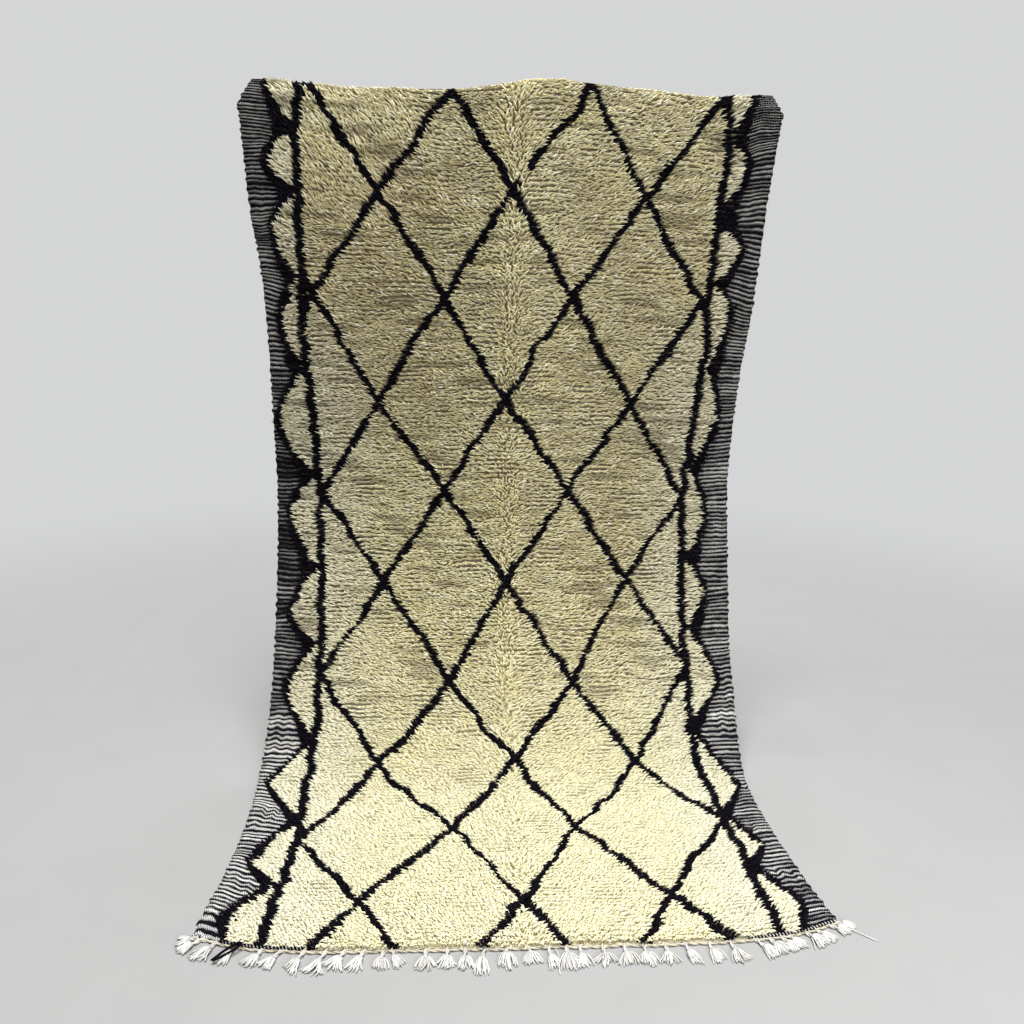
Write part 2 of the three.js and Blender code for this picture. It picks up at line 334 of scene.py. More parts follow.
# The camera's lens, its place with its height above the floor, and its turns in degrees.
CAMERA_LENS = 32.05
CAMERA_PLACE = (-0.158, -2.814, 1.469)
CAMERA_TURNS = (-3.57, 90 - 13.85, 1.11)

UP = np.array([0.0, 0.0, 1.0])


# ---- Where a place on the rug lies ----


def column(table, index):
    return np.array([row[index] for row in table])


def read(table, index, along):
    """The value of a table's column at a distance along the rug."""
    return np.interp(along, column(table, 0), column(table, index))


def ease(value, start, end):
    share = np.clip((value - start) / (end - start), 0, 1)
    return share * share * (3 - 2 * share)


def lies(along):
    """0 where the rug hangs and 1 where it lies on the floor."""
    return ease(along, 1.75, 2.30)


def bell(off, reach):
    """1 at no distance, and gone past about twice the reach."""
    return np.exp(-((off / reach) ** 2))


def by_lie(hung, lying, along):
    """A value that goes over from where the rug hangs to where it lies."""
    return hung + (lying - hung) * lies(along)


def read_side(table, along, across):
    """A table's value for the left or for the right side."""
    return np.where(across < 0, read(table, 1, along), read(table, 2, along))


def hang_line():
    """The back of the cloth on its middle line, a little past both of its ends."""
    step = 0.01
    steps = round(RUG_LENGTH / step)
    slope = np.radians(read(HANG, 1, (np.arange(steps) + 0.5) * step))
    along = np.arange(steps + 1) * step
    y = np.concatenate([[0], -np.cumsum(np.sin(slope)) * step])
    z = np.concatenate([[0], -np.cumsum(np.cos(slope)) * step])
    top, end = slope[0], slope[-1]
    past = 0.1
    along = np.concatenate([[-past], along, [RUG_LENGTH + past]])
    y = np.concatenate([[y[0] + past * math.sin(top)], y, [y[-1] - past * math.sin(end)]])
    z = np.concatenate([[z[0] + past * math.cos(top)], z, [z[-1]]])
    return along, y, z


LINE_ALONG, LINE_Y, LINE_Z = hang_line()
FLOOR = float(LINE_Z[-1])


def edge_drop(across):
    places, drops = column(EDGE_DROP, 0), column(EDGE_DROP, 1)
    inside = np.clip(across, places[0], places[-1])
    row = np.clip(np.searchsorted(places, inside, "right") - 1, 0, len(places) - 2)
    share = ease(inside, places[row], places[row + 1])
    return drops[row] + (drops[row + 1] - drops[row]) * share


def fold_lift(across, along):
    billow = -BILLOW_PER_DROP * edge_drop(across) * np.exp(-along / DROP_FADE)
    crease = CREASE_HEIGHT * (1 - ease(along, *CREASE_FADE))
    crease = crease / (1 + ((across - CREASE_AT) / CREASE_REACH) ** 2)
    roll_on = ease(along, *ROLL_STARTS) * (1 - ease(along, *ROLL_ENDS))
    side = np.clip((np.abs(across) - (HALF_WIDTH - ROLL_BAND)) / ROLL_BAND, 0, 1)
    phase = np.where(across < 0, LEFT_ROLL_PHASE, RIGHT_ROLL_PHASE)
    wave = np.sin(2 * np.pi * along / ROLL_PERIOD + phase)
    return billow + crease + ROLL_DEPTH * roll_on * side**2 * wave


def cloth(along, across, height):
    """Places on the rug as points in the row frame."""
    along, across, height = np.broadcast_arrays(along, across, height)
    share = np.clip(along / RUG_LENGTH, 0, 1)
    reach = np.minimum(np.abs(across) / HALF_WIDTH, 1)
    drop = edge_drop(across) * np.exp(-np.maximum(along, 0) / DROP_FADE)
    corner = CORNER_CUT * reach**CORNER_POWER * share**CORNER_SPREAD
    at = along + drop - corner
    y = np.interp(at, LINE_ALONG, LINE_Y)
    z = np.interp(at, LINE_ALONG, LINE_Z)
    slope = np.radians(read(HANG, 1, at))
    lift = fold_lift(across, np.maximum(at, 0)) + height
    z = np.maximum(z + lift * np.sin(slope), FLOOR)
    return np.stack([across, y - lift * np.cos(slope), z], -1)


def ripple(along, across, size, seed):
    """Smooth, repeatable unevenness between about -1 and 1, with swells of a given size."""
    rng = np.random.default_rng(seed)
    total = 0
    for _ in range(6):
        turn = rng.uniform(0, 2 * np.pi)
        pace = 2 * np.pi / (size * rng.uniform(0.7, 1.6))
        shift = rng.uniform(0, 2 * np.pi)
        total = total + np.sin(
            pace * (along * math.cos(turn) + across * math.sin(turn)) + shift
        )
    return total / 3.0


# ---- Where the pattern's lines run ----


def line_counts(row, place):
    """A place in the lattice, counted in falling lines and in rising lines."""
    return (place + row + 5) / 2, (place - row + 15) / 2


def crossing_drift():
    """How far each crossing lies from its even place, on a grid of the two line families."""
    drift = np.zeros((GRID_SIZE, GRID_SIZE, 2))
    for row, place, down, right in CROSSING_STRAYS:
        falling, rising = line_counts(row, place)
        drift[int(falling), int(rising)] = down, right
    return drift


DRIFT = crossing_drift()


def lattice_lines(along, across):
    """A place counted in falling and in rising lines: a whole number is on a line."""
    row = (along - FIRST_CROSSING) / CROSSING_STEP
    place = across / CROSSING_REACH
    # The drift is that of the place being looked for, so it is found in a few rounds.
    for _ in range(5):
        falling, rising = line_counts(row, place)
        i, j = (np.clip(np.floor(each).astype(int), 0, GRID_SIZE - 2) for each in (falling, rising))
        a, b = np.clip(falling - i, 0, 1)[..., None], np.clip(rising - j, 0, 1)[..., None]
        drift = (
            DRIFT[i, j] * (1 - a) * (1 - b)
            + DRIFT[i + 1, j] * a * (1 - b)
            + DRIFT[i, j + 1] * (1 - a) * b
            + DRIFT[i + 1, j + 1] * a * b
        )
        row = (along - drift[..., 0] - FIRST_CROSSING) / CROSSING_STEP
        place = (across - drift[..., 1]) / CROSSING_REACH
    return line_counts(row, place)


def border_line(along, across):
    return np.where(across < 0, read(LEFT_BORDER, 1, along), read(RIGHT_BORDER, 1, along))


def lobe_line(lobes, along):
    """The outer line on one side, how far its outer edge is filled out, and if it runs outward."""
    starts = column(lobes, 0)
    number = np.clip(np.searchsorted(starts, along, "right") - 1, 0, len(lobes) - 2)
    start, end = starts[number], starts[number + 1]
    inward, next_inward = column(lobes, 1)[number], column(lobes, 1)[number + 1]
    crown, out = column(lobes, 2)[number], column(lobes, 3)[number]
    before = along < crown
    to_point = np.where(before, (along - start) / (crown - start), (end - along) / (end - crown))
    upper, lower = LOBE_FULLNESS
    fullness = upper + (lower - upper) * ease(along, 0.8, 2.0)
    swell = 1 - (1 - np.clip(to_point, 0, 1)) ** fullness
    base = np.where(before, inward, next_inward)
    near = np.maximum(bell(along - start, FILL_AFTER), bell(end - along, FILL_BEFORE))
    return base + (out - base) * swell, by_lie(*NOTCH_FILL, along) * near, before


def outer_line(along, across):
    """The inner and the outer edge of the outer line."""
    sides = zip(lobe_line(LEFT_LOBES, along), lobe_line(RIGHT_LOBES, along))
    line, fill, outward = (np.where(across < 0, left, right) for left, right in sides)
    half = by_lie(*OUTER_LINE_HALF, along)
    inner_edge = line - half - FLANK_EXTRA * outward * lies(along)
    for at, on_left, on_right, reach in INNER_FILLS:
        inner_edge = inner_edge - bell(along - at, reach) * np.where(across < 0, on_left, on_right)
    return inner_edge, line + half + fill


def is_pile(along, across):
    return np.abs(across) < outer_line(along, across)[1]


def straggle(size, shape, rng):
    """Small shifts of a line from one row of knots to the next, in part shared by neighbours."""
    loose = rng.normal(0, size, shape)
    return 0.75 * loose + 0.45 * (np.roll(loose, 1, 0) + np.roll(loose, -1, 0))


def on_lines(lines, row, half, rng):
    """Which knots are on the nearest line of one family; every row of knots is a bit off."""
    number = np.round(lines).astype(int)
    shape = (row.max() + 1, len(DRIFT))
    wobble = straggle(LINE_WOBBLE, shape, rng)[row, number] + rng.normal(0, LINE_FRAY, len(row))
    swell = straggle(LINE_SWELL, shape, rng)[row, number]
    return np.abs(2 * CROSSING_REACH * (lines - number) + wobble) < half + swell


def is_dark(along, across, row, rng):
    """Which knots are tied in black in the lattice, and which in the lines at the sides."""
    falling, rising = lattice_lines(along, across)
    half = by_lie(LINE_HALF, LYING_LINE_HALF, along)
    # Cream yarn leans over the edges of a line that slants one way, and off those of the other.
    cover = np.where(across > 0, 1, -1) * by_lie(*NAP_COVER, along)
    sway = LINE_SWAY / (2 * CROSSING_REACH) * ripple(along, across, 0.13, 45)
    at_rising, at_falling = (np.abs(np.sin(np.pi * lines)) for lines in (rising, falling))
    falling, rising = falling + sway * at_rising, rising + sway * at_falling
    lattice = on_lines(falling, row, half - cover, rng) | on_lines(rising, row, half + cover, rng)
    side = (across > 0).astype(int)
    wobble = straggle(LINE_WOBBLE, (row.max() + 1, 2, 2), rng)[row, side]
    wobble = wobble + rng.normal(0, LINE_FRAY, wobble.shape)
    inner = np.abs(across) - border_line(along, across) + wobble[:, 0]
    inner_edge, _ = outer_line(along, across)
    missed_along, missed_across, missed_reach = MISSED_KNOTS
    lattice &= (inner < 0) & (
        np.hypot(along - missed_along, across - missed_across) > missed_reach
    )
    edging = (np.abs(inner) < BORDER_HALF) | (np.abs(across) - inner_edge + wobble[:, 1] > 0)
    return lattice & ~edging, edging


# ---- Meshes from arrays ----


def add_object(name, data):
    made = bpy.data.objects.new(name, data)
    bpy.context.scene.collection.objects.link(made)
    return made


def make_mesh(name, points, quads=(), triangles=(), smooth=True):
    """An object from arrays of points and of corner numbers."""
    quads = np.asarray(quads, np.int32).reshape(-1, 4)
    triangles = np.asarray(triangles, np.int32).reshape(-1, 3)
    corners = np.concatenate([quads.ravel(), triangles.ravel()])
    sizes = np.concatenate([np.full(len(quads), 4), np.full(len(triangles), 3)])
    starts = np.concatenate([[0], np.cumsum(sizes)[:-1]])
    mesh = bpy.data.meshes.new(name)
    mesh.vertices.add(len(points))
    mesh.vertices.foreach_set("co", np.asarray(points, np.float32).ravel())
    mesh.loops.add(len(corners))
    mesh.loops.foreach_set("vertex_index", corners.astype(np.int32))
    mesh.polygons.add(len(sizes))
    mesh.polygons.foreach_set("loop_start", starts.astype(np.int32))
    mesh.polygons.foreach_set("use_smooth", np.full(len(sizes), smooth))
    mesh.update(calc_edges=True)
    mesh.validate()
    return add_object(name, mesh)


def keep_map(made, places):
    """Where each face corner lies when all faces are laid out flat, side by side, on one square."""
    layer = made.data.uv_layers.new(name="OFBake")
    flat = np.concatenate([np.reshape(place, -1) for place in places])
    layer.uv.foreach_set("vector", flat.astype(np.float32))


def corner_places(corners):
    """One array of face corners from pairs of coordinates, which are numbers or arrays."""
    return np.stack([np.stack(np.broadcast_arrays(*each), -1) for each in corners], -2)


def map_cells(count):
    """The lower left corners of equal cells of the square, one for each item, and their size."""
    side = math.ceil(math.sqrt(count))
    number = np.arange(count)
    return np.stack([number % side, number // side], -1) / side, 1 / side


def keep_values(made, **values):
    """Stores numbers for each vertex, which materials read by their names."""
    for name, numbers in values.items():
        attribute = made.data.attributes.new(name, "FLOAT", "POINT")
        attribute.data.foreach_set("value", np.asarray(numbers, np.float32).ravel())


# ---- The woven cloth ----


def rib_rows():
    """Distance along of every mesh row, and its place in the count of rib pairs."""
    rng = np.random.default_rng(3)
    rows, counts = [], []
    along, pair = 0.0, 0
    while along < RUG_LENGTH:
        pitch = float(read(PAIR_PITCH, 1, along)) * rng.uniform(*PITCH_SPREAD)
        for share in RIB_ROWS:
            if along + share * pitch < RUG_LENGTH:
                rows.append(along + share * pitch)
                counts.append(pair + share)
        along += pitch
        pair += 1
    rows.append(RUG_LENGTH)
    counts.append(counts[-1] + 0.1)
    return np.array(rows), np.array(counts)


def rib_profile(count):
    """1 on the round back of each rib and 0 in the furrow between two."""
    return np.abs(np.sin(2 * np.pi * count)) ** 0.5


def cloth_columns(along):
    """Across of every column at one distance along."""
    left = float(read(SIDES, 1, along))
    right = float(read(SIDES, 2, along))
    left_band = [-(BAND_FROM + (left - BAND_FROM) * s) for s in reversed(BAND_SHARES)]
    right_band = [BAND_FROM + (right - BAND_FROM) * s for s in BAND_SHARES]
    return np.array(left_band + list(FIELD_COLUMNS) + right_band)


def rib_waver(along, across):
    """How far a rib strays along the rug where it crosses a band."""
    into_band = np.clip((np.abs(across) - BAND_FROM) / BAND_WIDTH, 0, 1)
    rise = read_side(RIB_RISE, along, across)
    tilt = 0.006 * ripple(along, 4 * np.sign(across), 0.42, 21)
    tilt = tilt + 0.005 * ripple(along, 4 * np.sign(across), 0.16, 22)
    drawn = 0.0034 * ripple(along, across, 0.10, 23)
    fade = ease(along, 0.0, 0.12) * (1 - ease(along, RUG_LENGTH - 0.16, RUG_LENGTH))
    return into_band * (fade * (tilt + drawn) - rise * (0.75 + 0.25 * into_band))


def cloth_map(rows, across):
    """The cloth's faces laid out in two lengths, its bands larger than the field between them."""
    half = len(rows) // 2
    columns = across[half]
    steps = np.diff(columns)
    in_field = np.abs(columns[:-1] + columns[1:]) < 2 * BAND_FROM
    sides, used = [], 0.0
    for field_share in (0.02, 0.50):
        widths = steps * np.where(in_field, field_share, 1.0)
        sides.append(used + np.concatenate([[0], np.cumsum(widths)]))
        used = sides[-1][-1] + 0.03
    sides = [0.005 + side * 0.475 / used for side in sides]
    row = np.arange(len(rows) - 1)
    late = row >= half
    start, length = np.where(late, rows[half], 0), np.where(late, rows[-1] - rows[half], rows[half])
    low, high = (0.01 + 0.96 * (rows[each] - start) / length for each in (row, row + 1))

    def box(left, right, bottom, top, order):
        corners = ((left, bottom), (right, bottom), (right, top), (left, top))
        return corner_places([corners[each] for each in order])

    moved = 0.5 * late[:, None]
    low, high = low[:, None], high[:, None]
    places = [
        box(moved + side[:-1], moved + side[1:], low, high, order)
        for side, order in zip(sides, ((0, 3, 2, 1), (0, 1, 2, 3)))
    ]
    for left, order in ((0.484, (0, 1, 2, 3)), (0.491, (3, 2, 1, 0))):
        places.append(box(moved + left, moved + left + 0.004, low, high, order))
    for bottom, order in ((0.978, (0, 1, 2, 3)), (0.988, (3, 2, 1, 0))):
        places.append(box(sides[0][:-1], sides[0][1:], bottom, bottom + 0.006, order))
    return places


def make_cloth():
    """The ground of the pile and the flat-woven bands, as one closed sheet."""
    rows, counts = rib_rows()
    across = np.array([cloth_columns(row) for row in rows])
    width = across.shape[1]
    bead = 0.0016 * np.sin(np.pi * counts) + 0.0014 * ripple(rows, 0, 0.03, 24)
    bead = bead[:, None] * np.array([-1] + [0] * (width - 2) + [1])
    across = across + bead
    along = rows[:, None] + rib_waver(rows[:, None], across)
    along = np.clip(along, 0, RUG_LENGTH)
    rib = rib_profile(counts)[:, None]
    in_band = ease(np.abs(across), 0.56, 0.60)
    edge = 1 - 0.75 * (np.abs(across) > read_side(SIDES, along, across) - 0.004)
    front = (BAND_TOP - RIB_HEIGHT * (1 - rib) * in_band) * edge
    back = BACK_RIB * (1 - rib) + 0 * across
    grids = [cloth(along, across, front), cloth(along, across, back)]
    count = len(rows) * width
    number = np.arange(count).reshape(len(rows), width)
    a, b = number[:-1, :-1], number[:-1, 1:]
    c, d = number[1:, 1:], number[1:, :-1]
    faces = [np.stack([a, d, c, b], -1), np.stack([a, b, c, d], -1) + count]
    for side, turn in ((0, 1), (-1, -1)):
        up, down = number[:-1, side], number[1:, side]
        faces.append(np.stack([up, up + count, down + count, down][::turn], -1))
    for end, turn in ((0, 1), (-1, -1)):
        near, far = number[end, :-1], number[end, 1:]
        faces.append(np.stack([near, far, far + count, near + count][::turn], -1))
    quads = np.concatenate([f.reshape(-1, 4) for f in faces])
    made = make_mesh("rug_cloth", np.concatenate([g.reshape(-1, 3) for g in grids]), quads)
    keep_map(made, cloth_map(rows, across))
    falling, rising = lattice_lines(along, across)
    values = {
        "pair": np.broadcast_to(counts[:, None], across.shape),
        "along": along,
        "across": across,
        "falling": falling,
        "rising": rising,
        "from_border": np.abs(across) - border_line(along, across),
        "from_outer": np.abs(across) - outer_line(along, across)[1],
    }
    keep_values(made, **{name: np.tile(each.ravel(), 2) for name, each in values.items()})
    keep_values(made, front=np.repeat([1.0, 0.0], count))
    return made


# ---- The knotted pile ----


def knot_places(rng):
    """Along, across and row of every yarn end: two ends come out of each knot of a row."""
    row_count = int(RUG_LENGTH / KNOT_ROW)
    found = []
    for row in range(row_count):
        middle = (row + 0.5) * RUG_LENGTH / row_count
        for leg in (-1, 1):
            start = -KNOT_REACH + KNOT_STEP * (0.25 * leg + 0.5 * (row % 2))
            line = np.arange(start, KNOT_REACH, KNOT_STEP)
            line = line + rng.uniform(-0.0022, 0.0022, len(line))
            apart = 0.0026 + 0.0016 * ripple(middle, line, 0.20, 31) + 0.0006 * lies(middle)
            sway = 0.0022 * ripple(middle, line, 0.06, 32) + 0.0022 * ripple(middle, line, 0.16, 33)
            at = middle + leg * apart + sway + rng.normal(0, 0.0009, len(line))
            found.append((at, line, np.full(len(line), row)))
    along, across, row = (np.concatenate(each) for each in zip(*found))
    return np.clip(along, TOP_MARGIN, RUG_LENGTH - END_MARGIN), across, row


def nap(along, across, rng):
    """How far each yarn end leans along and across: outward from the crease, and upward on it."""
    count = len(along)
    lying = lies(along)
    turn = 36 + 40 * ease(np.abs(across - 0.005), 0.008, 0.060)
    turn = turn + (92 - turn) * lying
    loose = ease(-across, 0.15, 0.45) * (1 - ease(along, 0.25, 0.50))
    turn = turn - 32 * loose + 12 * ripple(along, across, 0.15, 41) * (1 - 0.4 * lying)
    tousle = 11 + 6 * ripple(along, across, 0.10, 42) - 2 * lying
    turn = np.radians(turn + rng.normal(0, 1, count) * tousle)
    side = np.where(across + rng.normal(0, 0.022, count) < 0.005, -1.0, 1.0)
    to_across, to_along = side * np.sin(turn), -np.cos(turn)
    to_along = to_along + rng.uniform(0.4, 2.6, count) * ease(along, RUG_LENGTH - 0.03, RUG_LENGTH)
    length = np.hypot(to_across, to_along)
    upper_end = 1 - ease(along, 0, 0.020)
    to_along = np.where(to_along < 0, to_along * (1 - 0.5 * upper_end), to_along)
    crease = on_crease(across)
    reach = TUFT_LEAN * rng.uniform(0.65, 1.40, count) / length
    reach = reach * (1 - 0.26 * lying) * (1 - 0.25 * crease * (1 - lying))
    return to_along * reach, to_across * reach


def on_crease(across):
    """1 on the crease down the middle, 0 beside it."""
    return 1 - ease(np.abs(across - CREASE_AT), 0.010, 0.075)


def parting(along, across):
    """How far rows of pile stand apart, 0 to 1, in long furrows across the part that hangs."""
    furrow = ripple(along, 0.18 * across, 0.045, 53) + 0.5 * ripple(along, across, 0.45, 54)
    return ease(furrow, 0.30, 1.10) * (1 - 0.75 * lies(along))


def tuft_map(count):
    """A cell for every yarn end, with its three sides next to each other in it."""
    corners, size = map_cells(count)
    left = np.arange(3) / 3 + 0.02
    right = left + 0.29
    low, middle, high = 0.05, 0.62, 0.95
    sides = [(left, low), (right, low), (right, middle), (left, middle)]
    tips = [(left, middle), (right, middle), ((left + right) / 2, high)]
    return [corners[:, None, None] + size * corner_places(each) for each in (sides, tips)]


def tuft_mesh(name, along, across, lean_along, lean_across, stout, rng):
    """One tapering three-sided yarn end for each place, all in one mesh."""
    count = len(along)
    lean = np.hypot(lean_along, lean_across)
    to_along, to_across = lean_along / lean, lean_across / lean
    near_end = np.minimum(along, RUG_LENGTH - along)
    full = END_PILE_TOP + (PILE_TOP - END_PILE_TOP) * ease(near_end, 0, 0.05)
    top = full + 0.0014 * ripple(along, across, 0.22, 51) + 0.0012 * ripple(along, across, 0.06, 52)
    tint = rng.uniform(0, 1, count)
    lying = lies(along)
    top = top + rng.normal(0, 0.0014, count) * (1 - 0.4 * lying)
    top = top + 0.0022 * ease(tint, 0.8, 1.0) * (1 - 0.7 * lying)
    parted = parting(along, across)
    top = top - 0.0035 * parted
    wide = TUFT_WIDTH * stout * rng.uniform(0.72, 1.25, count) * (1 + 0.22 * lying)
    # A yarn end is as round where it stands up as where it lies over.
    rise_of_lean = np.hypot(lean, top - PILE_ROOT)
    stand, slant = (top - PILE_ROOT) / rise_of_lean, lean / rise_of_lean
    thick = 1 + 0.3 * lying
    bend = rng.normal(0, 0.16, count)
    # Each ring: how far out along the lean, share of the height, half width, ridge height.
    rings = ((-0.12, 0.0, 0.34, 0.0018), (0.34, 0.68 + 0.20 * lying, 0.50, 0.0029))
    points = np.empty((count, 7, 3))
    for ring, (out, rise, half, ridge) in enumerate(rings):
        height = PILE_ROOT + (top - PILE_ROOT) * rise
        for corner, (aside, up) in enumerate(((-half, -0.4), (0, 0.6), (half, -0.4))):
            slot = ring * 3 + corner
            back = up * ridge * thick * stand
            points[:, slot, 0] = along + lean_along * out + (aside * wide * to_across - back * to_along)
            points[:, slot, 1] = across + lean_across * out - (aside * wide * to_along + back * to_across)
            points[:, slot, 2] = height + up * ridge * thick * slant
    points[:, 6, 0] = along + lean * (to_along + bend * to_across)
    points[:, 6, 1] = across + lean * (to_across - bend * to_along)
    points[:, 6, 2] = top + rng.normal(0, 0.0012, count)
    placed = cloth(points[..., 0], points[..., 1], points[..., 2]).reshape(-1, 3)
    first = np.arange(count)[:, None] * 7
    sides = np.array([(0, 1, 4, 3), (1, 2, 5, 4), (2, 0, 3, 5)])
    tips = np.array([(3, 4, 6), (4, 5, 6), (5, 3, 6)])
    made = make_mesh(
        name,
        placed,
        (first[:, None] + sides[None]).reshape(-1, 4),
        (first[:, None] + tips[None]).reshape(-1, 3),
    )
    keep_map(made, tuft_map(count))
    # Painted shade: each yarn end is darkened toward its root, more in the furrows where rows part, and
    # less where the pile lies open: on the floor and over the crease.
    open_pile = np.maximum(0.92 * lying, 0.50 * on_crease(across))[:, None]
    tip = np.array((0, 0.1, 0, 0.56, 0.76, 0.56, 1.0)) * (1 - 0.40 * parted[:, None])
    tip = tip + open_pile * (1 - tip)
    along, across = points[..., 0], points[..., 1]
    keep_values(made, tip=tip, tint=np.repeat(tint, 7), along=along, across=across)
    return made


def make_pile():
    rng = np.random.default_rng(7)
    along, across, row = knot_places(rng)
    lean_along, lean_across = nap(along, across, rng)
    # The pattern is where the yarn ends show, a little off from where they are knotted.
    shown = along + SHOWN_AT * lean_along, across + SHOWN_AT * lean_across
    keep = is_pile(*shown) & (np.abs(across) < PILE_REACH)
    lattice, edging = is_dark(shown[0][keep], shown[1][keep], row[keep], rng)
    tufts = [each[keep] for each in (along, across, lean_along, lean_across)]
    quarters = np.array_split(np.flatnonzero(~lattice & ~edging), 4)
    groups = [(f"pile_cream_{number + 1}", chosen, 1.0) for number, chosen in enumerate(quarters)]
    groups.append(("pile_black_lattice", np.flatnonzero(lattice), 1.12))
    groups.append(("pile_black_borders", np.flatnonzero(edging), 1.12))
    return [
        tuft_mesh(name, *(each[chosen] for each in tufts), stout, rng)
        for name, chosen, stout in groups
    ]


# ---- The fringe ----


def tube_map(rows, sides):
    """One tube laid out flat in a square: its body, and the fans that close its ends."""
    left = 0.04 + 0.92 * np.arange(sides) / sides
    right = left + 0.92 / sides
    levels = 0.12 + 0.76 * np.arange(rows) / (rows - 1)
    low, high = levels[:-1, None], levels[1:, None]
    body = corner_places([(left, low), (right, low), (right, high), (left, high)])
    middle = (left + right) / 2
    start = corner_places([(right, 0.12), (left, 0.12), (middle, 0.03)])
    end = corner_places([(left, 0.88), (right, 0.88), (middle, 0.97)])
    return body, np.stack([start, end])


class Tubes:
    """Gathers many tubes into one mesh."""

    def __init__(self):
        self.points, self.quads, self.triangles, self.tint, self.tip = [], [], [], [], []
        self.maps = []
        self.count = 0

    def add(self, path, radii, sides, tint, tips=None):
        """A tube along a path of points, with a radius at each, closed at both ends."""
        path = np.asarray(path, float)
        ahead = np.gradient(path, axis=0)
        ahead /= np.linalg.norm(ahead, axis=1)[:, None]
        aside = np.cross(ahead, UP)
        aside /= np.maximum(np.linalg.norm(aside, axis=1), 1e-9)[:, None]
        above = np.cross(aside, ahead)
        turns = (2 * np.pi * np.arange(sides) / sides)[:, None]
        radii = np.broadcast_to(radii, len(path))[:, None, None]
        ring = np.cos(turns) * aside[:, None] + np.sin(turns) * above[:, None]
        points = path[:, None] + radii * ring
        points[..., 2] = np.maximum(points[..., 2], FLOOR)
        rows = len(path)
        number = self.count + np.arange(rows * sides).reshape(rows, sides)
        right = np.roll(number, -1, 1)
        quads = np.stack([number[:-1], right[:-1], right[1:], number[1:]], -1)
        ends = self.count + rows * sides
        self.quads.append(quads.reshape(-1, 4))
        start_fan = np.stack([right[0], number[0], np.full(sides, ends)], -1)
        end_fan = np.stack([number[-1], right[-1], np.full(sides, ends + 1)], -1)
        self.triangles += [start_fan, end_fan]
        self.points += [points.reshape(-1, 3), points[0].mean(0)[None], points[-1].mean(0)[None]]
        # Painted shade: a low share darkens the yarn; by default it goes from 0 at the start of the tube
        # to 1 at its end.
        tips = np.linspace(0, 1, rows) if tips is None else np.broadcast_to(tips, rows)
        self.tip += [np.repeat(tips, sides), tips[:1], tips[-1:]]
        self.maps.append(tube_map(rows, sides))
        self.tint.append(np.full(rows * sides + 2, tint))
        self.count += rows * sides + 2

    def make(self, name):
        parts = self.points, self.quads, self.triangles
        made = make_mesh(name, *(np.concatenate(part) for part in parts))
        corners, size = map_cells(len(self.maps))
        bodies, ends = (
            [corner + size * places[part] for corner, places in zip(corners, self.maps)]
            for part in (0, 1)
        )
        keep_map(made, bodies + ends)
        keep_values(made, tint=np.concatenate(self.tint), tip=np.concatenate(self.tip))
        return made


def lower_edge(across):
    return cloth(RUG_LENGTH, across, 0.0)


def twist(tubes, start, end, out, height, ply, pitch, tints, turned=0.0):
    """Plies turned around each other along the lower edge."""
    steps = int((end - start) / (pitch / 7))
    across = np.linspace(start, end, steps)
    middle = lower_edge(across)
    middle[:, 1] -= out + 0.0014 * ripple(across, 0, 0.12, 60) + 0.0012 * ripple(across, 0, 0.04, 61)
    middle[:, 2] = FLOOR + height
    turn = 2 * np.pi * across / pitch + turned
    for number, tint in enumerate(tints):
        path = middle.copy()
        path[:, 1] += 0.8 * ply * np.cos(turn + np.pi * number)
        path[:, 2] += 0.8 * ply * np.sin(turn + np.pi * number)
        radii = ply * (1 + 0.20 * ripple(across, number, 0.04, 62 + number))
        tubes.add(path, radii, sides=6, tint=tint, tips=0.8)


def strand(start, ahead, aside, heading, reach, curl, heights):
    """A path of points that leaves one way and curls to another."""
    place, path = start, []
    for step, height in enumerate(heights):
        path.append([place[0], place[1], FLOOR + height])
        turn = heading + curl * step
        pace = reach / (len(heights) - 1)
        place = place + (ahead * math.cos(turn) + aside * math.sin(turn)) * pace
    return np.array(path)


